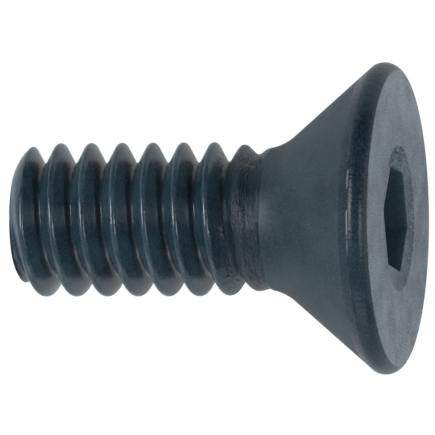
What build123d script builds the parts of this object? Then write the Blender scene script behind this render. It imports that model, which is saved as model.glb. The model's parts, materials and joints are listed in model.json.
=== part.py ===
"""Countersunk screw with a hexagon socket and a coarse right-hand thread, in millimetres.

The screw is forged and thread-rolled in one piece. It lies on the floor, Z = 0, on the rim
of its head and on the first full crest of its thread, with the head toward +X and its axis
in the XZ plane. The origin is under the middle of its box. Profiles are drawn in that plane
as (depth, radius), with the depth counted along the screw from the face of the head.
"""

from build123d import *

import os
from math import asin, atan2, ceil, cos, hypot, radians, sin, sqrt, tan

# Thread: 1/4 inch, 20 threads to the inch, rolled, right-hand.
THREAD_PITCH = 1.27
THREAD_ANGLE = 60
CREST_DIAMETER = 6.18
CREST_LAND = 0.12
ROOT_FLAT = 0.16
ROOT_BEVEL = 0.086

# Shank: the thread runs out into the fillet of the neck. The point is chamfered, and the
# crests behind the chamfer rise slowly to their full height.
SCREW_LENGTH = 15.48
NECK_DIAMETER = 5.62
NECK_FILLET = 2.3
RUNOUT_REACH = 0.32
GROOVE_RUNOUT = 1.2
CREST_RUNOUT = 2.05
POINT_DIAMETER = 4.8
POINT_LENGTH = 1.21
CHAMFER_LENGTH = 0.4
CHAMFER_ANGLE = 45

# Head: its edge is one arc from the face to the countersunk cone. Without the arc, the cone
# would meet the face in a sharp corner that stands out from the face by the overhang.
FACE_DIAMETER = 11.78
SHARP_OVERHANG = 0.975
EDGE_ROUNDING = 0.55
COUNTERSINK_ANGLE = 81.4

# Socket: 5/32 inch across the flats, with a shallow dished mouth.
SOCKET_ACROSS_FLATS = 3.97
SOCKET_DEPTH = 2.9
SOCKET_POINT_ANGLE = 120
SOCKET_TURN = 8
MOUTH_DIAMETER = 5.8
MOUTH_DEPTH = 0.13
MOUTH_WALL_ANGLE = 60

CUT_OVERRUN = 0.3
GROOVE_OVERRUN = 0.08
TAPER_DIP = 0.02

crest_radius = CREST_DIAMETER / 2
neck_radius = NECK_DIAMETER / 2
point_radius = POINT_DIAMETER / 2
face_radius = FACE_DIAMETER / 2
sharp_radius = face_radius + SHARP_OVERHANG
chamfer_radius = point_radius + CHAMFER_LENGTH * tan(radians(CHAMFER_ANGLE))
full_crest_depth = SCREW_LENGTH - POINT_LENGTH
mouth_radius = MOUTH_DIAMETER / 2
mouth_wall = radians(MOUTH_WALL_ANGLE)
socket_point_depth = SOCKET_DEPTH + SOCKET_ACROSS_FLATS / 2 / tan(radians(SOCKET_POINT_ANGLE / 2))

# Edge of the head: the arc starts at the face and ends tangent to the cone.
cone_angle = radians(COUNTERSINK_ANGLE / 2)
cone_gap = (sharp_radius - face_radius) * cos(cone_angle)
edge_reach = sqrt(EDGE_ROUNDING**2 - (EDGE_ROUNDING - cone_gap) ** 2)
edge_centre_depth = (cone_gap - EDGE_ROUNDING) * sin(cone_angle) + edge_reach * cos(cone_angle)
edge_centre_radius = (
    face_radius + (cone_gap - EDGE_ROUNDING) * cos(cone_angle) - edge_reach * sin(cone_angle)
)
cone_start = (
    edge_centre_depth + EDGE_ROUNDING * sin(cone_angle),
    edge_centre_radius + EDGE_ROUNDING * cos(cone_angle),
)

# Neck: a fillet between the cone and the neck, cut short where the groove runs out. The
# crests taper down to just under it, so that the two never meet in one circle.
cone_end_depth = (sharp_radius - neck_radius) / tan(cone_angle)
fillet_centre_depth = cone_end_depth + NECK_FILLET * tan(cone_angle / 2)
fillet_centre_radius = neck_radius + NECK_FILLET
fillet_start = (
    fillet_centre_depth - NECK_FILLET * sin(cone_angle),
    fillet_centre_radius - NECK_FILLET * cos(cone_angle),
)
runout_start_depth = fillet_centre_depth - RUNOUT_REACH
runout_start_radius = fillet_centre_radius - sqrt(NECK_FILLET**2 - RUNOUT_REACH**2)
groove_full_depth = runout_start_depth + GROOVE_RUNOUT
crest_full_depth = runout_start_depth + CREST_RUNOUT
bar_start_depth = runout_start_depth - CUT_OVERRUN
crest_taper = (crest_radius - runout_start_radius + TAPER_DIP) / CREST_RUNOUT
bar_start_radius = crest_radius - crest_taper * (crest_full_depth - bar_start_depth)

# Rest: the floor line passes the first full crest and is tangent to the edge of the head.
rest_run = full_crest_depth - edge_centre_depth
rest_drop = edge_centre_radius - crest_radius
rest_lean = atan2(rest_drop, rest_run) + asin(EDGE_ROUNDING / hypot(rest_run, rest_drop))
lean_cos = cos(rest_lean)
lean_sin = sin(rest_lean)
length_on_floor = SCREW_LENGTH * lean_cos + (point_radius + face_radius) * lean_sin
face_centre = Vector(
    length_on_floor / 2 - face_radius * lean_sin,
    0,
    full_crest_depth * lean_sin + crest_radius * lean_cos,
)
to_point = Vector(-lean_cos, 0, -lean_sin)
to_head = -to_point
section = Plane(origin=face_centre, x_dir=to_point, z_dir=(0, 1, 0))
screw_axis = Axis(face_centre, to_point)

# Thread form: straight flanks between a narrow land and a root with bevelled corners.
flank_slope = tan(radians(THREAD_ANGLE / 2))
root_half_width = ROOT_FLAT / 2 + ROOT_BEVEL
flank_width = (THREAD_PITCH - CREST_LAND) / 2 - root_half_width
flank_foot_radius = crest_radius - flank_width / flank_slope
root_radius = flank_foot_radius - ROOT_BEVEL
groove_half_width = root_half_width + flank_width + GROOVE_OVERRUN * flank_slope

# The first full crest starts on the underside, where the cone of the point ends.
lead_length = POINT_LENGTH + CREST_LAND / 2
lead_turns = ceil((lead_length + groove_half_width) / THREAD_PITCH)
groove_start_depth = SCREW_LENGTH - lead_length + lead_turns * THREAD_PITCH
groove_turns = ceil((groove_start_depth - bar_start_depth) / THREAD_PITCH) + 1

# Run-out of the groove: a cone that fills its last turns, on past the full depth.
groove_taper = (runout_start_radius - root_radius) / GROOVE_RUNOUT
fill_end = (groove_full_depth + CUT_OVERRUN, root_radius - groove_taper * CUT_OVERRUN)

with BuildPart() as screw:
    # Threaded bar: the crests as a plain cylinder that tapers into the neck and the point.
    with BuildSketch(section):
        with BuildLine():
            Polyline(
                (bar_start_depth, 0),
                (bar_start_depth, bar_start_radius),
                (crest_full_depth, crest_radius),
                (full_crest_depth, crest_radius),
                (SCREW_LENGTH - CHAMFER_LENGTH, chamfer_radius),
                (SCREW_LENGTH, point_radius),
                (SCREW_LENGTH, 0),
                close=True,
            )
        make_face()
    revolve(axis=screw_axis)

    # Groove: the thread form swept along a helix, cut one turn at a time.
    for turn in range(groove_turns):
        turn_depth = groove_start_depth - turn * THREAD_PITCH
        turn_start = section.from_local_coords((turn_depth, 0))
        with BuildLine() as path:
            Helix(THREAD_PITCH, THREAD_PITCH, root_radius, turn_start, to_head)
        with BuildSketch(Plane(origin=turn_start, x_dir=to_head, z_dir=(0, -1, 0))):
            with BuildLine():
                Polyline(
                    (-root_half_width, flank_foot_radius),
                    (-ROOT_FLAT / 2, root_radius),
                    (ROOT_FLAT / 2, root_radius),
                    (root_half_width, flank_foot_radius),
                    (groove_half_width, crest_radius + GROOVE_OVERRUN),
                    (-groove_half_width, crest_radius + GROOVE_OVERRUN),
                    close=True,
                )
            make_face()
        sweep(path=path.line, is_frenet=True, mode=Mode.SUBTRACT)

    # Head and neck, with the cone that fills the last turns of the groove.
    with BuildSketch(section):
        with BuildLine():
            Line((0, 0), (0, face_radius))
            RadiusArc((0, face_radius), cone_start, EDGE_ROUNDING)
            Line(cone_start, fillet_start)
            RadiusArc(fillet_start, (runout_start_depth, runout_start_radius), -NECK_FILLET)
            Polyline(
                (runout_start_depth, runout_start_radius),
                fill_end,
                (fill_end[0], 0),
                (0, 0),
            )
        make_face()
    revolve(axis=screw_axis)

    # Socket: a dished mouth, the hexagon, and the cone left by the punch.
    with BuildSketch(section):
        with BuildLine():
            Polyline(
                (-CUT_OVERRUN, 0),
                (-CUT_OVERRUN, mouth_radius + CUT_OVERRUN / tan(mouth_wall)),
                (MOUTH_DEPTH, mouth_radius - MOUTH_DEPTH / tan(mouth_wall)),
                (MOUTH_DEPTH, 0),
                close=True,
            )
        make_face()
    revolve(axis=screw_axis, mode=Mode.SUBTRACT)
    with BuildSketch(Plane(origin=face_centre, x_dir=section.y_dir, z_dir=to_point)):
        RegularPolygon(SOCKET_ACROSS_FLATS / 2, 6, major_radius=False, rotation=SOCKET_TURN)
    extrude(amount=SOCKET_DEPTH, mode=Mode.SUBTRACT)
    with BuildSketch(section):
        with BuildLine():
            Polyline(
                (SOCKET_DEPTH, 0),
                (SOCKET_DEPTH, SOCKET_ACROSS_FLATS / 2),
                (socket_point_depth, 0),
                close=True,
            )
        make_face()
    revolve(axis=screw_axis, mode=Mode.SUBTRACT)

screw.part.label = "countersunk_screw"
os.makedirs("parts", exist_ok=True)
export_step(screw.part, "parts/countersunk_screw.step")
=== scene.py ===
"""Visual model of a countersunk screw with a hexagon socket and a black oxide finish.

The screw is forged and thread-rolled in one piece. It lies on the floor on the rim of its
head and on the first full crest of its thread. Sizes of the screw are in millimetres, with
the depth counted from the face of the head and the turn counted round the axis from +Y.
Everything that reaches Blender is in metres.
"""

import json
import logging
import math
from collections.abc import Iterable, Sequence
from dataclasses import dataclass, replace
from enum import Enum
from typing import Any

import bmesh
import bpy
from mathutils import Matrix, Vector, noise

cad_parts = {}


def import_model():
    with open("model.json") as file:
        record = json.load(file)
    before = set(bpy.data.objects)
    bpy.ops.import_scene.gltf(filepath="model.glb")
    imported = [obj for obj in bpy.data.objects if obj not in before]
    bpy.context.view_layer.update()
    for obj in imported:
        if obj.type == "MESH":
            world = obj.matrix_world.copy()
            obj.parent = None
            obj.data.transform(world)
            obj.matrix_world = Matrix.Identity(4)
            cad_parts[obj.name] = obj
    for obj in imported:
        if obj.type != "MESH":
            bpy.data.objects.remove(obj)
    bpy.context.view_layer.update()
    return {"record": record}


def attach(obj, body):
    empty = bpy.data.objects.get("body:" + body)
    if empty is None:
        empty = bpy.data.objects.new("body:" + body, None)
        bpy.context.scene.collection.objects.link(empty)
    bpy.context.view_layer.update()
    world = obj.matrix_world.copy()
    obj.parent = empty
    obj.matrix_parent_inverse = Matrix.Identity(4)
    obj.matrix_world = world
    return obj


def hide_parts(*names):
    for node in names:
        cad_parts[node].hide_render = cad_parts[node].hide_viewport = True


LOG = logging.getLogger("countersunk_screw")
NODE = "countersunk_screw"

# Metres in a millimetre, steps in a turn, and the gap in millimetres that is closed.
METRES = 0.001
TURN_STEPS = 180
MERGE_GAP = 1e-3

# Faces that meet at a sharper angle than this are shaded with an edge between them.
SHARP_ANGLE = math.radians(32)

# A depth with a radius, the two ends of a range, and a linear colour with alpha.
Point = tuple[float, float]
Span = tuple[float, float]
Colour = tuple[float, float, float, float]


class Zone(Enum):
    """Stretches of the surface that were made in different ways, by material slot."""

    THREAD = 0
    CONE = 1
    BAND = 2
    FACE = 3
    # The mouth has the face's finish with painted shade.
    MOUTH = 4
    SOCKET = 5


def linear(hex_colour: str) -> Colour:
    """Turn an sRGB colour written as #rrggbb into a linear colour with alpha.

    Args:
        hex_colour: The colour as it looks on a screen.

    Returns:
        Red, green, blue and alpha from 0 to 1.
    """
    parts = [int(hex_colour[i : i + 2], 16) / 255 for i in (1, 3, 5)]
    red, green, blue = (
        c / 12.92 if c <= 0.04045 else ((c + 0.055) / 1.055) ** 2.4 for c in parts
    )
    return red, green, blue, 1.0


def smooth_step(start: float, end: float, value: float) -> float:
    """Rise smoothly from 0 at start to 1 at end.

    Args:
        start: Value at which the step begins.
        end: Value at which it has finished.
        value: The value looked up.

    Returns:
        A number from 0 to 1.
    """
    t = min(max((value - start) / (end - start), 0.0), 1.0)
    return t * t * (3 - 2 * t)


def blunt_min(first: float, second: float, reach: float) -> float:
    """Take the smaller of two numbers, with the corner between them rounded off.

    Args:
        first: One number.
        second: The other number.
        reach: Difference within which the corner is rounded.

    Returns:
        The rounded minimum.
    """
    h = min(max(0.5 + (second - first) / (2 * reach), 0.0), 1.0)
    return second + (first - second) * h - reach * h * (1 - h)


def blunt_max(first: float, second: float, reach: float) -> float:
    """Take the larger of two numbers with a rounded corner, as blunt_min does."""
    return -blunt_min(-first, -second, reach)


def between(first: Point, last: Point, steps: int) -> list[Point]:
    """List evenly spaced points on a straight line, with both ends.

    Args:
        first: Depth and radius of the first point.
        last: Depth and radius of the last one.
        steps: Number of equal steps between them.

    Returns:
        The points as depth and radius.
    """
    run, rise = last[0] - first[0], last[1] - first[1]
    return [(first[0] + run * i / steps, first[1] + rise * i / steps) for i in range(steps + 1)]


def arc(centre: Point, radius: float, start: float, end: float, steps: int) -> list[Point]:
    """List points along an arc, with both ends.

    Args:
        centre: Depth and radius of the arc's centre.
        radius: The arc's own radius.
        start: First angle in radians, from the axis toward the outside.
        end: Last angle.
        steps: Number of equal steps between them.

    Returns:
        The points as depth and radius.
    """
    depth, height = centre
    angles = (start + (end - start) * i / steps for i in range(steps + 1))
    return [(depth + radius * math.cos(a), height + radius * math.sin(a)) for a in angles]


@dataclass(frozen=True)
class Placement:
    """Where the screw lies: the centre of its face and the direction out of the head."""

    face_centre: Vector
    to_head: Vector

    @classmethod
    def from_record(cls, record: dict[str, Any], mouth_depth: float) -> "Placement":
        """Read the placement from the socket's mount, which lies on the axis.

        Args:
            record: The part's record.
            mouth_depth: Depth of the mount below the face.

        Returns:
            The placement in millimetres.
        """
        mount = next(m for m in record["mounts"] if m["name"] == "hexagon_socket")
        to_head = Vector(mount["axis"]).normalized()
        return cls(Vector(mount["pos_m"]) / METRES + to_head * mouth_depth, to_head)

    def axes(self) -> Matrix:
        """Give the screw's own axes as columns: across, up and out of the head."""
        across = Vector((0, 1, 0))
        up = self.to_head.cross(across)
        return Matrix((across, up, self.to_head)).transposed()

    def matrix(self) -> Matrix:
        """Give the transform from the screw's own axes in millimetres to the frame."""
        turned = self.axes().to_4x4()
        return Matrix.Scale(METRES, 4) @ Matrix.Translation(self.face_centre) @ turned


@dataclass(frozen=True)
class Neck:
    """Cone of the head and the fillet that leads it into the neck.

    The sharp radius is the one that the bare cone would reach at the face.
    """

    sharp_radius: float = 6.845
    cone_angle: float = math.radians(40.4)
    radius: float = 2.812
    fillet: float = 2.3
    fillet_steps: int = 22

    def cone_radius(self, depth: float) -> float:
        """Give the radius of the bare cone at a depth."""
        return self.sharp_radius - depth * math.tan(self.cone_angle)

    def start_depth(self) -> float:
        """Give the depth at which the fillet ends in the plain neck."""
        corner = (self.sharp_radius - self.radius) / math.tan(self.cone_angle)
        return corner + self.fillet * math.tan(self.cone_angle / 2)

    def cone_end_depth(self) -> float:
        """Give the depth at which the cone passes into the fillet."""
        return self.start_depth() - self.fillet * math.sin(self.cone_angle)

    def radius_at(self, depth: float) -> float:
        """Give the outer radius of cone, fillet and neck.

        Args:
            depth: Depth below the face.

        Returns:
            The radius there.
        """
        if depth <= self.cone_end_depth():
            return self.cone_radius(depth)
        run = max(self.start_depth() - depth, 0.0)
        return self.radius + self.fillet - math.sqrt(self.fillet**2 - run**2)

    def outline(self, last_depth: float) -> list[Point]:
        """List the fillet's points from the shank up to the cone.

        Args:
            last_depth: Depth of the shank's first ring.

        Returns:
            Points from that ring to the start of the cone.
        """
        end = self.cone_end_depth()
        steps = self.fillet_steps
        depths = (last_depth + (end - last_depth) * i / steps for i in range(steps + 1))
        return [(depth, self.radius_at(depth)) for depth in depths]


@dataclass(frozen=True)
class Shank:
    """Rolled thread with its run-out into the neck and its chamfered point."""

    neck: Neck

    # Thread form. One crest lies on the floor at the given depth, and the underside is a
    # quarter of a turn from +Y.
    pitch: float = 1.27
    crest_radius: float = 3.092
    root_radius: float = 2.29
    crest_rounding: float = 0.15
    root_rounding: float = 0.13
    flank_angle: float = math.radians(30)
    lower_crest_depth: float = 14.21
    underside: float = 0.25

    # Point: its outline swells from the end up to just past the crests.
    length: float = 15.48
    point_radius: float = 2.37
    point_length: float = 1.4
    point_fullness: float = 3.5
    point_clearance: float = 0.06
    point_rounding: float = 0.05

    # Rings that close the end, by their size and how far they stand in from it. Those of
    # its rounded edge keep the outline of the thread, and those of its dish are round.
    edge_rings: tuple[Point, ...] = ((0.975, 0.01), (0.93, 0.0))
    dish_rings: tuple[Point, ...] = ((0.8, 0.015), (0.4, 0.165))
    dish_depth: float = 0.2
    end_reach: float = 0.01

    # Run-out: the groove fills up early, and the crests sink over a longer stretch.
    runout_start: float = 5.08
    runout_end: float = 7.1
    groove_bow: float = 0.6
    crest_fade: Span = (4.98, 7.5)
    crest_swell: float = 0.4

    # Points on each pitch of the strip, crowded at crests and roots, and the pitches by
    # which the strip overruns the run-out.
    samples: int = 36
    crowding: float = 0.5
    overrun: float = 0.25

    def phase(self, depth: float, turn: float) -> float:
        """Give the place across the thread form, from -0.5 to 0.5 with the crest at 0.

        Args:
            depth: Depth below the face.
            turn: Angle round the axis.

        Returns:
            The phase in pitches.
        """
        rise = (self.lower_crest_depth - depth) / self.pitch
        raw = rise - turn / math.tau - self.underside
        return raw - round(raw)

    def form(self, phase: float) -> float:
        """Give the radius of the full thread form.

        Args:
            phase: Place across the form.

        Returns:
            The radius with rounded crest and root.
        """
        away = abs(phase) * self.pitch
        flank_start = self.crest_rounding * math.cos(self.flank_angle)
        on_arc = min(away, flank_start)
        drop = self.crest_rounding - math.sqrt(self.crest_rounding**2 - on_arc**2)
        flank_drop = (away - on_arc) / math.tan(self.flank_angle)
        return blunt_max(
            self.crest_radius - drop - flank_drop, self.root_radius, self.root_rounding
        )

    def share_left(self, depth: float, on_crest: bool) -> float:
        """Give the share of the thread's height that the run-out leaves.

        Args:
            depth: Depth below the face.
            on_crest: Whether the form stands out of the neck there.

        Returns:
            A number from 0 at the neck to 1 on the full thread.
        """
        reach = (depth - self.runout_start) / (self.runout_end - self.runout_start)
        reach = min(max(reach, 0.0), 1.0)
        if not on_crest:
            return reach * (1 + self.groove_bow * (1 - reach))
        share = smooth_step(*self.crest_fade, depth)
        return min(share + self.crest_swell * reach * (1 - reach), 1.0)

    def point_limit(self, depth: float) -> float:
        """Give the radius that the point allows the thread.

        Args:
            depth: Depth below the face.

        Returns:
            The radius of the point's own outline.
        """
        rest = 1 - min(max((self.length - depth) / self.point_length, 0.0), 1.0)
        span = self.crest_radius + self.point_clearance - self.point_radius
        return self.point_radius + span * (1 - rest**self.point_fullness)

    def radius_at(self, depth: float, turn: float) -> float:
        """Give the radius of the shank.

        Args:
            depth: Depth below the face.
            turn: Angle round the axis.

        Returns:
            The radius there.
        """
        lift = self.form(self.phase(depth, turn)) - self.neck.radius
        radius = self.neck.radius_at(depth) + lift * self.share_left(depth, lift > 0)
        return blunt_min(radius, self.point_limit(depth), self.point_rounding)

    def line(self) -> list[float]:
        """List depths of one line along the shank, crowded at crests and roots.

        Returns:
            Depths from beyond the point to the neck, a whole pattern in each pitch.
        """
        pitches = math.ceil((self.length - self.lower_crest_depth) / self.pitch + 1)
        last_depth = self.runout_start - self.pitch * self.overrun
        depths = []
        step = -pitches * self.samples
        while not depths or depths[-1] >= last_depth:
            share = step / self.samples
            bend = self.crowding * math.sin(2 * math.tau * share) / (2 * math.tau)
            rise = (share - bend - self.underside) * self.pitch
            depths.append(self.lower_crest_depth - rise)
            step += 1
        return depths

    def build(self, mesh: bmesh.types.BMesh) -> None:
        """Spin the thread as a helical strip, and shape it into the shank.

        Args:
            mesh: The mesh that takes it, in the screw's own axes.
        """
        verts = [mesh.verts.new((1, 0, -depth)) for depth in self.line()]
        edges = [mesh.edges.new(pair) for pair in zip(verts, verts[1:])]
        bmesh.ops.spin(
            mesh,
            geom=verts + edges,
            cent=(0, 0, 0),
            axis=(0, 0, 1),
            dvec=(0, 0, self.pitch / TURN_STEPS),
            angle=math.tau,
            steps=TURN_STEPS,
        )
        for vert in mesh.verts:
            depth = min(max(-vert.co.z, self.runout_start), self.length)
            turn = math.atan2(vert.co.y, vert.co.x)
            radius = self.radius_at(depth, turn)
            vert.co = (radius * math.cos(turn), radius * math.sin(turn), -depth)
        bmesh.ops.remove_doubles(mesh, verts=mesh.verts, dist=MERGE_GAP)
        bmesh.ops.dissolve_degenerate(mesh, edges=mesh.edges, dist=MERGE_GAP)
        self.close_point(mesh)

    def close_point(self, mesh: bmesh.types.BMesh) -> None:
        """Close the end of the point with a rounded edge and a shallow dish.

        Args:
            mesh: The mesh of the shank.
        """
        end = -self.length
        limit = end + self.end_reach
        ring = [
            edge
            for edge in mesh.edges
            if edge.is_boundary and all(vert.co.z < limit for vert in edge.verts)
        ]
        for scale, rise in self.edge_rings + self.dish_rings:
            grown = bmesh.ops.extrude_edge_only(mesh, edges=ring)["geom"]
            verts = [g for g in grown if isinstance(g, bmesh.types.BMVert)]
            ring = [g for g in grown if isinstance(g, bmesh.types.BMEdge) and g.is_boundary]
            for vert in verts:
                flat = vert.co.xy * scale
                if (scale, rise) in self.dish_rings:
                    flat = vert.co.xy.normalized() * self.point_radius * scale
                vert.co = (flat.x, flat.y, end + rise)
        centre = dict.fromkeys(vert for edge in ring for vert in edge.verts)
        bmesh.ops.pointmerge(mesh, verts=list(centre), merge_co=(0, 0, end + self.dish_depth))


@dataclass(frozen=True)
class Ring:
    """One ring of the head: a circle by its radius, or a hexagon by its flats."""

    depth: float
    size: float
    zone: Zone
    is_hexagon: bool = False


@dataclass(frozen=True)
class Head:
    """Countersunk head: cone, edge band, face and socket."""

    neck: Neck

    # Cone and edge band. The band's arc stops a little short of the corners at its ends.
    cone_steps: int = 8
    band_start_depth: float = 0.79
    band_centre: Point = (0.525, 5.675)
    band_radius: float = 0.563
    band_steps: int = 18
    band_gap: float = 0.02

    # Face and the dished mouth that the punch drew in.
    face_edge: float = 5.86
    face_steps: int = 8
    mouth_radius: float = 2.93
    mouth_depth: float = 0.13
    mouth_floor: float = 2.35
    mouth_steps: int = 14

    # Socket. Its rim is broken: rings below the dish and wider than the flats. The punch
    # leaves a cone at the bottom, down to the tip.
    socket_flats: float = 3.97
    socket_depth: float = 2.9
    socket_steps: int = 6
    socket_turn: float = math.radians(22)
    socket_corner: float = 0.985
    rim: tuple[Point, ...] = ((0.0, 0.06), (0.015, 0.024), (0.048, 0.0))
    bottom: tuple[Point, ...] = ((2.9, 1.9453), (3.55, 0.794))
    socket_tip: float = 4.05

    # Rough metal: waves on the rim, and a torn patch beside the socket, both above the
    # given depth. The patch is deepest in its middle and gone past its edge.
    rough_depth: float = 0.26
    rim_roughness: float = 0.03
    rim_waves: float = 9.0
    tear_place: Point = (2.38, 0.0)
    tear_size: Point = (0.55, 1.6)
    tear_edge: Span = (0.6, 1.1)
    tear_depth: float = 0.24
    tear_mean: float = 0.3
    tear_waves: float = 6.0

    def hexagon(self, turn: float, flats: float) -> float:
        """Give the radius of a hexagon with slightly blunted corners.

        Args:
            turn: Angle round the axis.
            flats: Width across the flats.

        Returns:
            The radius in that direction.
        """
        sixth = math.tau / 6
        off = (turn - self.socket_turn) % sixth - sixth / 2
        corner = flats / 2 / math.cos(sixth / 2) * self.socket_corner
        return min(flats / 2 / math.cos(off), corner)

    def tear(self, across: float, up: float) -> float:
        """Give the depth of the torn patch that the punch left beside the socket.

        Args:
            across: Place across the face.
            up: Place up the face.

        Returns:
            The depth below the dish.
        """
        away = math.hypot(
            (across - self.tear_place[0]) / self.tear_size[0],
            (up - self.tear_place[1]) / self.tear_size[1],
        )
        rough = self.tear_mean + noise.noise(Vector((across, up, 0.0)) * self.tear_waves)
        return self.tear_depth * rough * (1 - smooth_step(*self.tear_edge, away))

    def band(self) -> list[Point]:
        """List the points of the edge band, from the cone to the face."""
        middle = self.band_centre[0]
        start = math.acos((self.band_start_depth - self.band_gap - middle) / self.band_radius)
        end = math.pi - math.acos((middle - self.band_gap) / self.band_radius)
        return arc(self.band_centre, self.band_radius, start, end, self.band_steps)

    def dish(self) -> list[Point]:
        """List the points of the dished mouth, steep at its edge and flat at the socket."""
        shares = [i / self.mouth_steps for i in range(1, self.mouth_steps + 1)]
        fall = self.mouth_floor - self.mouth_radius
        return [
            (self.mouth_depth * (1 - (1 - share) ** 2), self.mouth_radius + fall * share)
            for share in shares
        ]

    def rings(self, first_depth: float) -> list[Ring]:
        """List the head's rings from the shank to the bottom of the socket.

        Args:
            first_depth: Depth of the shank's first ring.

        Returns:
            The rings in order.
        """
        fillet = self.neck.outline(first_depth)
        corner = (self.band_start_depth, self.neck.cone_radius(self.band_start_depth))
        cone = between(fillet[-1], corner, self.cone_steps)[1:-1]
        face = between((0.0, self.face_edge), (0.0, self.mouth_radius), self.face_steps)
        circles = [
            (Zone.CONE, fillet + cone),
            (Zone.BAND, [corner] + self.band()),
            (Zone.FACE, face),
            (Zone.MOUTH, self.dish()),
        ]
        rings = [Ring(*point, zone) for zone, points in circles for point in points]
        for index, (drop, width) in enumerate(self.rim):
            zone = Zone.SOCKET if index else Zone.MOUTH
            depth, flats = self.mouth_depth + drop, self.socket_flats + width
            rings.append(Ring(depth, flats, zone, is_hexagon=True))
        for step in range(1, self.socket_steps + 1):
            depth = self.socket_depth * step / self.socket_steps
            rings.append(Ring(depth, self.socket_flats, Zone.SOCKET, is_hexagon=True))
        return rings + [Ring(*point, Zone.SOCKET) for point in self.bottom]

    def place(self, ring: Ring, turn: float) -> Point:
        """Give the depth and radius of a ring in one direction, rough metal included.

        Args:
            ring: The ring.
            turn: Angle round the axis.

        Returns:
            The depth and the radius.
        """
        depth, radius = ring.depth, ring.size
        if ring.is_hexagon:
            radius = self.hexagon(turn, ring.size)
        if ring.zone in (Zone.MOUTH, Zone.SOCKET) and depth < self.rough_depth:
            if ring.is_hexagon:
                outward = Vector((math.cos(turn), math.sin(turn), 0.0))
                radius += self.rim_roughness * noise.noise(outward * self.rim_waves)
            depth += self.tear(radius * math.cos(turn), radius * math.sin(turn))
        return depth, radius

    def build(self, mesh: bmesh.types.BMesh, first_depth: float) -> None:
        """Spin the head onto the shank, and press the socket's hexagon into it.

        Args:
            mesh: The mesh that takes it.
            first_depth: Depth of the shank's first ring.
        """
        rings = self.rings(first_depth)
        kind = mesh.verts.layers.int.new("ring")
        verts = []
        for number, ring in enumerate(rings, 1):
            verts.append(mesh.verts.new((ring.size, 0, -ring.depth)))
            verts[-1][kind] = number
        edges = [mesh.edges.new(pair) for pair in zip(verts, verts[1:])]
        bmesh.ops.spin(
            mesh,
            geom=verts + edges,
            cent=(0, 0, 0),
            axis=(0, 0, 1),
            angle=math.tau,
            steps=TURN_STEPS,
            use_merge=True,
        )
        head = [vert for vert in mesh.verts if vert[kind]]
        for vert in head:
            turn = math.atan2(vert.co.y, vert.co.x)
            depth, radius = self.place(rings[vert[kind] - 1], turn)
            vert.co = (radius * math.cos(turn), radius * math.sin(turn), -depth)
        inner = [vert for vert in head if vert[kind] == len(rings)]
        around = (edge for vert in inner for edge in vert.link_edges)
        last = dict.fromkeys(edge for edge in around if edge.is_boundary)
        grown = bmesh.ops.extrude_edge_only(mesh, edges=list(last))["geom"]
        tip = [g for g in grown if isinstance(g, bmesh.types.BMVert)]
        bmesh.ops.pointmerge(mesh, verts=tip, merge_co=(0, 0, -self.socket_tip))
        self.mark(mesh, rings, kind)

    def mark(
        self,
        mesh: bmesh.types.BMesh,
        rings: Sequence[Ring],
        kind: bmesh.types.BMLayerItem,
    ) -> None:
        """Give each face the material slot of its zone.

        Args:
            mesh: The mesh of the screw.
            rings: The head's rings.
            kind: The layer with the number of each vertex's ring, 0 on the shank.
        """
        for face in mesh.faces:
            number = max(vert[kind] for vert in face.verts)
            zone = rings[number - 1].zone if number else Zone.THREAD
            face.material_index = zone.value


@dataclass(frozen=True)
class Streaks:
    """Streaks along the axis that a trimming die leaves round the edge of the head.

    They are about 0.03 mm wide on the real screw, and are drawn coarser so that they show.
    """

    radius: float = 6.2
    width: float = 0.1
    length: float = 1.5
    depth: float = 0.02


@dataclass(frozen=True)
class RibsAndPaintedShade:
    """Fine ribs round the run-out of the thread, where the rolling dies let go.

    They fade in over a range of places along the axis, and over that range the colour is
    painted darker: painted shade.
    Their waves are counted per millimetre across, up and along the screw, and they are
    drawn deeper than the real ones so that they show.
    """

    fade: Span = (-7.5, -6.1)
    # Painted shade: the darker colour laid over the run-out.
    colour: str = "#182b36"
    roughness: float = 0.22
    waves: tuple[float, float, float] = (1.2, 1.2, 5.5)
    depth: float = 0.2


@dataclass(frozen=True)
class PaintedHighlightCorner:
    """A painted highlight: a pale broken line along a corner, where a lamp's glint falls.

    It is painted brightest beside one place across the screw, and faintly elsewhere.
    """

    depth: float = 0.79
    half_width: float = 0.05
    # Colour of the painted highlight.
    colour: str = "#a3abb0"
    most: float = 0.7
    breaks_per_mm: float = 2.2
    break_range: Span = (0.47, 0.6)
    middle: float = 0.6
    fade: Span = (0.8, 2.6)
    elsewhere: float = 0.12


@dataclass(frozen=True)
class BlackOxide:
    """Black oxide on steel: a thin oiled conversion layer that keeps the metal's own grain.

    It looks blue-black and satin, pale only where it mirrors something bright. Its grain is
    0.02 mm and finer on the real screw, and is drawn at about 0.08 mm so that it shows.
    Patches, where the bath took unevenly, are one to two millimetres wide. Flecks are
    specks of dust in the oil. Ranges are of the noise that each pattern is cut from.
    """

    name: str
    dark: str
    light: str
    roughness: float
    spread: float
    gloss: float
    patch: float = 1.6
    tone_range: Span = (0.8, 1.2)
    grain: float = 0.08
    grain_range: Span = (0.3, 0.7)
    grain_depth: float = 0.006
    fleck: str = "#5d6970"
    fleck_share: float = 0.3
    fleck_range: Span = (0.56, 0.68)
    flecks_per_mm: float = 11.0
    streaks: Streaks | None = None
    ribs: RibsAndPaintedShade | None = None
    # A painted highlight along a corner, if any.
    painted_highlight: PaintedHighlightCorner | None = None


# Forged face: scale from the forging leaves the steel coarse and matt, so it shows the light's
# direction more than the metal. Its pale grey is partly the scale's own tone and partly painted
# light.
FORGED_WITH_PAINTED_LIGHT = BlackOxide(
    name="black_oxide_forged_painted_light",
    dark="#39454e",
    light="#77848d",
    roughness=0.3,
    spread=0.12,
    gloss=0.5,
    grain_depth=0.035,
    fleck="#a4adb2",
    fleck_share=0.5,
)

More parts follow.
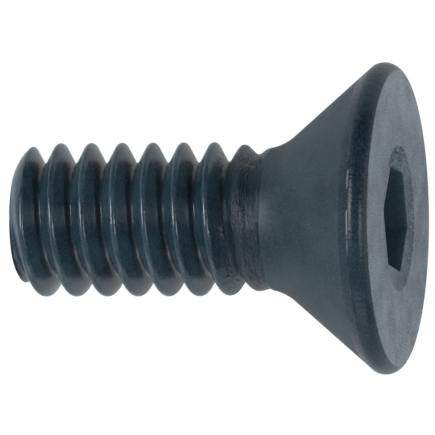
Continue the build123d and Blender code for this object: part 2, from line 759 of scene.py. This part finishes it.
FINISHES = {
    # Rolled thread: the dies burnish the steel, so each crest mirrors in a thin bright line.
    Zone.THREAD: BlackOxide(
        name="black_oxide_rolled",
        dark="#1b303b",
        light="#384e59",
        roughness=0.12,
        spread=0.05,
        gloss=0.6,
        grain_depth=0.009,
        ribs=RibsAndPaintedShade(),
    ),
    # Headed cone: pressed smooth in the die but dull, so it shades softly with no glints.
    Zone.CONE: BlackOxide(
        name="black_oxide_headed",
        dark="#182a34",
        light="#2e4049",
        roughness=0.5,
        spread=0.06,
        gloss=0.4,
        painted_highlight=PaintedHighlightCorner(),
    ),
    # Trimmed edge band: sheared along the axis, so it is darkest, with fine streaks and a
    # few bright specks.
    Zone.BAND: BlackOxide(
        name="black_oxide_trimmed",
        dark="#0f202b",
        light="#243640",
        roughness=0.3,
        spread=0.1,
        gloss=0.25,
        fleck="#8a9399",
        fleck_share=0.1,
        streaks=Streaks(),
        painted_highlight=PaintedHighlightCorner(),
    ),
    Zone.FACE: FORGED_WITH_PAINTED_LIGHT,
    # Dished mouth: drawn in by the punch, as coarse as the face, with its colours darkened as
    # painted shade.
    Zone.MOUTH: replace(FORGED_WITH_PAINTED_LIGHT, name="black_oxide_dished_painted_shade", dark="#22303a", light="#5b6a75"),
    # Punched socket: smooth, dull walls that the light hardly reaches.
    Zone.SOCKET: BlackOxide(
        name="black_oxide_punched",
        dark="#2c3f4a",
        light="#3c4f5a",
        roughness=0.5,
        spread=0.06,
        gloss=0.3,
    ),
}


def add_node(
    tree: bpy.types.NodeTree,
    kind: str,
    inputs: dict[str | int, Any] | None = None,
    **settings: Any,
) -> bpy.types.Node:
    """Add a node with its settings, and fill its sockets with values or links.

    Args:
        tree: The node tree that takes it.
        kind: The node's type.
        inputs: Values or output sockets by socket name or number.
        **settings: Properties of the node.

    Returns:
        The new node.
    """
    node = tree.nodes.new(kind)
    for name, value in settings.items():
        setattr(node, name, value)
    for key, value in (inputs or {}).items():
        if isinstance(value, bpy.types.NodeSocket):
            tree.links.new(value, node.inputs[key])
        else:
            node.inputs[key].default_value = value
    return node


@dataclass(frozen=True)
class Coat:
    """The nodes of one finish, on the screw's own axes in millimetres."""

    tree: bpy.types.NodeTree
    finish: BlackOxide
    place: bpy.types.NodeSocket
    grain: bpy.types.NodeSocket

    def colour(self) -> bpy.types.NodeSocket:
        """Add the finish's colours, one laid over the other.

        Returns:
            The socket with the colour.
        """
        finish = self.finish
        patch = add_node(
            self.tree,
            "ShaderNodeTexNoise",
            {"Vector": self.place, "Scale": 1 / finish.patch, "Detail": 4.0, "Roughness": 0.6},
        )
        tone = add_node(
            self.tree,
            "ShaderNodeMath",
            {0: patch.outputs["Fac"], 1: self.grain},
            operation="ADD",
        )
        light_share = add_node(
            self.tree,
            "ShaderNodeMapRange",
            {
                "Value": tone.outputs[0],
                "From Min": finish.tone_range[0],
                "From Max": finish.tone_range[1],
            },
        )
        flecks = add_node(
            self.tree,
            "ShaderNodeTexNoise",
            {
                "Vector": self.place,
                "Scale": finish.flecks_per_mm,
                "Detail": 2.0,
                "Roughness": 0.7,
            },
        )
        fleck_share = add_node(
            self.tree,
            "ShaderNodeMapRange",
            {
                "Value": flecks.outputs["Fac"],
                "From Min": finish.fleck_range[0],
                "From Max": finish.fleck_range[1],
                "To Max": finish.fleck_share,
            },
        )
        layers = [
            (light_share.outputs["Result"], finish.light),
            (fleck_share.outputs["Result"], finish.fleck),
        ]
        # The pale corner line is a painted highlight.
        if finish.painted_highlight:
            layers.append((self.painted_highlight_line(finish.painted_highlight), finish.painted_highlight.colour))
        # The run-out's darker colour is painted shade.
        if finish.ribs:
            layers.append((self.run_out(finish.ribs), finish.ribs.colour))
        colour: Colour | bpy.types.NodeSocket = linear(finish.dark)
        for share, over in layers:
            # Sockets 6 and 7 are the two colours of a Mix node, and output 2 is the mix.
            mix = add_node(
                self.tree,
                "ShaderNodeMix",
                {"Factor": share, 6: colour, 7: linear(over)},
                data_type="RGBA",
            )
            colour = mix.outputs[2]
        return colour

    def roughness(self) -> bpy.types.NodeSocket:
        """Add the roughness, which follows the grain.

        Returns:
            The socket with the roughness.
        """
        finish = self.finish
        rough = add_node(
            self.tree,
            "ShaderNodeMapRange",
            {
                "Value": self.grain,
                "From Min": finish.grain_range[0],
                "From Max": finish.grain_range[1],
                "To Min": finish.roughness - finish.spread,
                "To Max": finish.roughness + finish.spread,
            },
        )
        if not finish.ribs:
            return rough.outputs["Result"]
        # Sockets 2 and 3 are the two numbers of a Mix node, and output 0 is the mix.
        mix = add_node(
            self.tree,
            "ShaderNodeMix",
            {
                "Factor": self.run_out(finish.ribs),
                2: rough.outputs["Result"],
                3: finish.ribs.roughness,
            },
            data_type="FLOAT",
        )
        return mix.outputs[0]

    def relief(self) -> bpy.types.NodeSocket:
        """Add the relief of the grain, the streaks and the ribs, one on the other.

        Returns:
            The socket with the normal.
        """
        finish = self.finish
        layers = [(self.grain, finish.grain_depth)]
        if finish.streaks:
            layers.append((self.streaks(finish.streaks), finish.streaks.depth))
        if finish.ribs:
            layers.append((self.ribs(finish.ribs), finish.ribs.depth))
        bump = None
        for height, depth in layers:
            inputs = {"Strength": 1.0, "Distance": depth * METRES, "Height": height}
            if bump is not None:
                inputs["Normal"] = bump.outputs["Normal"]
            bump = add_node(self.tree, "ShaderNodeBump", inputs)
        return bump.outputs["Normal"]

    def run_out(self, ribs: RibsAndPaintedShade) -> bpy.types.NodeSocket:
        """Add the share of the thread's run-out, from 0 on the full thread to 1 at the neck.

        Args:
            ribs: The ribs, with the stretch over which they fade in.

        Returns:
            The socket with the share.
        """
        split = add_node(self.tree, "ShaderNodeSeparateXYZ", {0: self.place})
        near = add_node(
            self.tree,
            "ShaderNodeMapRange",
            {
                "Value": split.outputs["Z"],
                "From Min": ribs.fade[0],
                "From Max": ribs.fade[1],
            },
            interpolation_type="SMOOTHSTEP",
        )
        return near.outputs["Result"]

    def ribs(self, ribs: RibsAndPaintedShade) -> bpy.types.NodeSocket:
        """Add the ribs round the run-out.

        Args:
            ribs: Their waves and the stretch over which they fade in.

        Returns:
            The socket with their height.
        """
        squeezed = add_node(
            self.tree,
            "ShaderNodeVectorMath",
            {0: self.place, 1: ribs.waves},
            operation="MULTIPLY",
        )
        height = add_node(
            self.tree,
            "ShaderNodeTexNoise",
            {"Vector": squeezed.outputs[0], "Scale": 1.0, "Detail": 4.0, "Roughness": 0.7},
        )
        faded = add_node(
            self.tree,
            "ShaderNodeMath",
            {0: height.outputs["Fac"], 1: self.run_out(ribs)},
            operation="MULTIPLY",
        )
        return faded.outputs[0]

    def streaks(self, streaks: Streaks) -> bpy.types.NodeSocket:
        """Add streaks that run along the axis, spaced evenly round it.

        One wave of the noise holds a high streak and a low one, so it is two widths wide.

        Args:
            streaks: Their width, their length and the radius that they lie on.

        Returns:
            The socket with their height.
        """
        flat = add_node(
            self.tree,
            "ShaderNodeVectorMath",
            {0: self.place, 1: (1, 1, 0)},
            operation="MULTIPLY",
        )
        outward = add_node(
            self.tree, "ShaderNodeVectorMath", {0: flat.outputs[0]}, operation="NORMALIZE"
        )
        wide = add_node(
            self.tree,
            "ShaderNodeVectorMath",
            {0: outward.outputs[0], "Scale": streaks.radius / 2 / streaks.width},
            operation="SCALE",
        )
        along = add_node(
            self.tree,
            "ShaderNodeVectorMath",
            {0: self.place, 1: (0, 0, 1 / 2 / streaks.length), 2: wide.outputs[0]},
            operation="MULTIPLY_ADD",
        )
        height = add_node(
            self.tree,
            "ShaderNodeTexNoise",
            {"Vector": along.outputs[0], "Scale": 1.0, "Detail": 2.0},
        )
        return height.outputs["Fac"]

    def painted_highlight_line(self, painted_highlight: PaintedHighlightCorner) -> bpy.types.NodeSocket:
        """Add a pale broken line along a corner: a painted highlight.

        Args:
            painted_highlight: The corner's depth and where the painted highlight is brightest.

        Returns:
            The socket with the share of the painted highlight.
        """
        split = add_node(self.tree, "ShaderNodeSeparateXYZ", {0: self.place})
        # Across the line it is its half width that counts, and along it the stretch where the
        # painted highlight is brightest.
        bounds = (
            ("Z", painted_highlight.depth, (0.0, painted_highlight.half_width), 0.0, "LINEAR"),
            ("X", -painted_highlight.middle, painted_highlight.fade, painted_highlight.elsewhere, "SMOOTHSTEP"),
        )
        breaks = add_node(
            self.tree,
            "ShaderNodeTexNoise",
            {"Vector": self.place, "Scale": painted_highlight.breaks_per_mm, "Detail": 4.0},
        )
        kept = add_node(
            self.tree,
            "ShaderNodeMapRange",
            {
                "Value": breaks.outputs["Fac"],
                "From Min": painted_highlight.break_range[0],
                "From Max": painted_highlight.break_range[1],
                "To Max": painted_highlight.most,
            },
        )
        share = kept.outputs["Result"]
        for axis, offset, (inner, outer), outside, kind in bounds:
            shift = add_node(
                self.tree,
                "ShaderNodeMath",
                {0: split.outputs[axis], 1: offset},
                operation="ADD",
            )
            away = add_node(
                self.tree, "ShaderNodeMath", {0: shift.outputs[0]}, operation="ABSOLUTE"
            )
            near = add_node(
                self.tree,
                "ShaderNodeMapRange",
                {
                    "Value": away.outputs[0],
                    "From Min": inner,
                    "From Max": outer,
                    "To Min": 1.0,
                    "To Max": outside,
                },
                interpolation_type=kind,
            )
            product = add_node(
                self.tree,
                "ShaderNodeMath",
                {0: share, 1: near.outputs["Result"]},
                operation="MULTIPLY",
            )
            share = product.outputs[0]
        return share


@dataclass(frozen=True)
class Finisher:
    """Makes the materials, with their patterns in the screw's own axes in millimetres."""

    placement: Placement

    def own_axes(self, tree: bpy.types.NodeTree) -> bpy.types.NodeSocket:
        """Add object coordinates turned into the screw's own axes.

        Args:
            tree: The material's nodes.

        Returns:
            The socket with across, up and out of the head, in millimetres.
        """
        turn = self.placement.axes().transposed()
        shift = -(turn @ self.placement.face_centre)
        coords = add_node(tree, "ShaderNodeTexCoord")
        mapping = add_node(
            tree,
            "ShaderNodeMapping",
            {
                "Vector": coords.outputs["Object"],
                "Location": shift,
                "Rotation": turn.to_euler(),
                "Scale": (1 / METRES,) * 3,
            },
        )
        return mapping.outputs["Vector"]

    def material(self, finish: BlackOxide) -> bpy.types.Material:
        """Make one black oxide finish.

        Args:
            finish: Its colours, roughness and patterns.

        Returns:
            The material.
        """
        material = bpy.data.materials.new(finish.name)
        material.use_nodes = True
        tree = material.node_tree
        tree.nodes.clear()
        place = self.own_axes(tree)
        grain = add_node(
            tree,
            "ShaderNodeTexNoise",
            {"Vector": place, "Scale": 1 / finish.grain, "Detail": 3.0, "Roughness": 0.65},
        )
        coat = Coat(tree, finish, place, grain.outputs["Fac"])
        shader = add_node(
            tree,
            "ShaderNodeBsdfPrincipled",
            {
                "Base Color": coat.colour(),
                "Specular IOR Level": finish.gloss,
                "Roughness": coat.roughness(),
                "Normal": coat.relief(),
            },
        )
        add_node(tree, "ShaderNodeOutputMaterial", {"Surface": shader.outputs["BSDF"]})
        return material


@dataclass(frozen=True)
class Screw:
    """The whole screw as one closed mesh."""

    placement: Placement
    shank: Shank
    head: Head

    def shade(self, mesh: bmesh.types.BMesh) -> None:
        """Shade the screw smoothly, with edges at its corners and round the band and face.

        Args:
            mesh: The finished mesh.
        """
        for face in mesh.faces:
            face.smooth = True
        edged = {Zone.BAND.value, Zone.FACE.value}
        for edge in mesh.edges:
            zones = {face.material_index for face in edge.link_faces}
            is_border = len(zones) > 1 and bool(zones & edged)
            edge.smooth = not is_border and edge.calc_face_angle(0.0) < SHARP_ANGLE

    def build(self) -> bpy.types.Object:
        """Build the screw, put it where it lies and dress it.

        Returns:
            The finished piece.
        """
        mesh = bmesh.new()
        self.shank.build(mesh)
        self.head.build(mesh, self.shank.runout_start)
        bmesh.ops.remove_doubles(mesh, verts=mesh.verts, dist=MERGE_GAP)
        bmesh.ops.recalc_face_normals(mesh, faces=mesh.faces)
        open_edges = sum(not edge.is_manifold for edge in mesh.edges)
        LOG.info("screw: %d faces, %d open edges", len(mesh.faces), open_edges)
        self.shade(mesh)
        bmesh.ops.transform(mesh, matrix=self.placement.matrix(), verts=mesh.verts)
        data = bpy.data.meshes.new("screw_body")
        mesh.to_mesh(data)
        mesh.free()
        body = bpy.data.objects.new("screw_body", data)
        bpy.context.scene.collection.objects.link(body)
        finisher = Finisher(self.placement)
        for zone in Zone:
            data.materials.append(finisher.material(FINISHES[zone]))
        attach(body, "root")
        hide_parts(NODE)
        return body


@dataclass(frozen=True)
class Lamp:
    """A soft rectangular lamp that faces the screw, placed by two angles in degrees."""

    name: str
    bearing: float
    height: float
    distance: float
    size: tuple[float, float]
    radiance: float
    aim: tuple[float, float, float] = (0.0, 0.0, 0.006)

    def build(self) -> None:
        """Hang the lamp."""
        light = bpy.data.lights.new(self.name, "AREA")
        light.shape = "RECTANGLE"
        light.size, light.size_y = self.size
        light.energy = self.radiance * math.pi * self.size[0] * self.size[1]
        bearing = math.radians(self.bearing)
        height = math.radians(self.height)
        direction = Vector(
            (
                math.cos(bearing) * math.cos(height),
                math.sin(bearing) * math.cos(height),
                math.sin(height),
            )
        )
        lamp = bpy.data.objects.new(self.name, light)
        lamp.location = direction * self.distance + Vector(self.aim)
        lamp.rotation_euler = direction.to_track_quat("Z", "Y").to_euler()
        bpy.context.scene.collection.objects.link(lamp)
        LOG.info("lamp %s", self.name)


@dataclass(frozen=True)
class Studio:
    """Floor, sky, lamps and camera."""

    # Floor: white paper that glows. The whiteness is the glow's share for the camera, which
    # leaves a faint shadow, and gloss sees only the mirrored part of it.
    floor_half: float = 2.0
    paper: str = "#dde0e2"
    glow: float = 1.06
    whiteness: float = 0.92
    mirrored: float = 0.12

    # Sky: its strength at the horizon and overhead, and its factors toward -Y, the near
    # side, and +Y. The climb and the crossing are where each change starts and ends, in
    # the height and the Y of a direction one long.
    sky: str = "#e4eff9"
    horizon: float = 0.42
    zenith: float = 0.32
    climb: Span = (0.25, 0.85)
    near_side: float = 1.2
    far_side: float = 0.3
    crossing: Span = (-0.6, 0.9)

    # Camera: its place in millimetres and its turn in degrees.
    camera_place: tuple[float, float, float] = (1.6012, 0.0683, 357.704)
    camera_turn: tuple[float, float, float] = (-0.0012, 0.2753, -0.2571)
    camera_lens: float = 728.6
    camera_sensor: float = 36.0
    camera_clip: float = 0.01

    def build_floor(self) -> None:
        """Lay the white floor, which keeps a faint shadow."""
        mesh = bmesh.new()
        bmesh.ops.create_grid(mesh, x_segments=1, y_segments=1, size=self.floor_half)
        data = bpy.data.meshes.new("floor")
        mesh.to_mesh(data)
        mesh.free()
        floor = bpy.data.objects.new("floor", data)
        bpy.context.scene.collection.objects.link(floor)
        material = bpy.data.materials.new("white_paper")
        material.use_nodes = True
        tree = material.node_tree
        tree.nodes.clear()
        paper = add_node(tree, "ShaderNodeBsdfDiffuse", {"Color": linear(self.paper)})
        glow = add_node(
            tree, "ShaderNodeEmission", {"Color": linear("#ffffff"), "Strength": self.glow}
        )
        path = add_node(tree, "ShaderNodeLightPath")
        is_gloss, is_camera = path.outputs["Is Glossy Ray"], path.outputs["Is Camera Ray"]
        seen = add_node(
            tree,
            "ShaderNodeMath",
            {0: is_gloss, 1: self.mirrored, 2: is_camera},
            operation="MULTIPLY_ADD",
        )
        share = add_node(
            tree,
            "ShaderNodeMath",
            {0: seen.outputs[0], 1: self.whiteness},
            operation="MULTIPLY",
        )
        mixed = add_node(
            tree,
            "ShaderNodeMixShader",
            {0: share.outputs[0], 1: paper.outputs[0], 2: glow.outputs[0]},
        )
        add_node(tree, "ShaderNodeOutputMaterial", {"Surface": mixed.outputs[0]})
        data.materials.append(material)

    def build_sky(self) -> None:
        """Light the scene from round the horizon, with a darker top and far side."""
        world = bpy.data.worlds.new("studio")
        bpy.context.scene.world = world
        world.use_nodes = True
        tree = world.node_tree
        tree.nodes.clear()
        coords = add_node(tree, "ShaderNodeTexCoord")
        split = add_node(tree, "ShaderNodeSeparateXYZ", {0: coords.outputs["Generated"]})
        level = add_node(
            tree,
            "ShaderNodeMapRange",
            {
                "Value": split.outputs["Z"],
                "From Min": self.climb[0],
                "From Max": self.climb[1],
                "To Min": self.horizon,
                "To Max": self.zenith,
            },
            interpolation_type="SMOOTHSTEP",
        )
        side = add_node(
            tree,
            "ShaderNodeMapRange",
            {
                "Value": split.outputs["Y"],
                "From Min": self.crossing[0],
                "From Max": self.crossing[1],
                "To Min": self.near_side,
                "To Max": self.far_side,
            },
        )
        strength = add_node(
            tree,
            "ShaderNodeMath",
            {0: level.outputs["Result"], 1: side.outputs["Result"]},
            operation="MULTIPLY",
        )
        sky = add_node(
            tree,
            "ShaderNodeBackground",
            {"Color": linear(self.sky), "Strength": strength.outputs[0]},
        )
        white = add_node(tree, "ShaderNodeBackground", {"Color": linear("#ffffff")})
        path = add_node(tree, "ShaderNodeLightPath")
        mixed = add_node(
            tree,
            "ShaderNodeMixShader",
            {0: path.outputs["Is Camera Ray"], 1: sky.outputs[0], 2: white.outputs[0]},
        )
        add_node(tree, "ShaderNodeOutputWorld", {"Surface": mixed.outputs[0]})

    def build_camera(self) -> None:
        """Set up the long-lens camera that looks straight down."""
        data = bpy.data.cameras.new("camera")
        data.sensor_width = self.camera_sensor
        data.lens = self.camera_lens
        data.clip_start = self.camera_clip
        camera = bpy.data.objects.new("camera", data)
        camera.location = Vector(self.camera_place) * METRES
        camera.rotation_euler = [math.radians(angle) for angle in self.camera_turn]
        bpy.context.scene.collection.objects.link(camera)
        bpy.context.scene.camera = camera

    def build(self, lamps: Iterable[Lamp]) -> None:
        """Build the whole studio.

        Args:
            lamps: The lamps to hang.
        """
        self.build_floor()
        self.build_sky()
        self.build_camera()
        for lamp in lamps:
            lamp.build()
        bpy.context.scene.view_settings.view_transform = "Standard"


# Low boxes fill the right and the front. The left strip draws the bright lines on the
# crests, and the right strip the glint on the edge band.
LAMPS = (
    Lamp("right_box", 0.0, 12.0, 0.35, (0.3, 0.2), 1.5),
    Lamp("left_strip", 170.0, 39.0, 0.3, (0.16, 0.05), 23.0),
    Lamp("front_box", -93.0, 14.0, 0.35, (0.4, 0.12), 1.6),
    Lamp("right_strip", -8.0, 53.5, 0.3, (0.12, 0.02), 30.0),
)


def main() -> None:
    """Build the screw and its studio."""
    logging.basicConfig(level=logging.INFO, format="%(name)s: %(message)s")
    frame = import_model()
    neck = Neck()
    shank = Shank(neck)
    head = Head(neck)
    placement = Placement.from_record(frame["record"], head.mouth_depth)
    body = Screw(placement, shank, head).build()
    LOG.info("built %s", body.name)
    Studio().build(LAMPS)


if __name__ == "__main__":
    main()
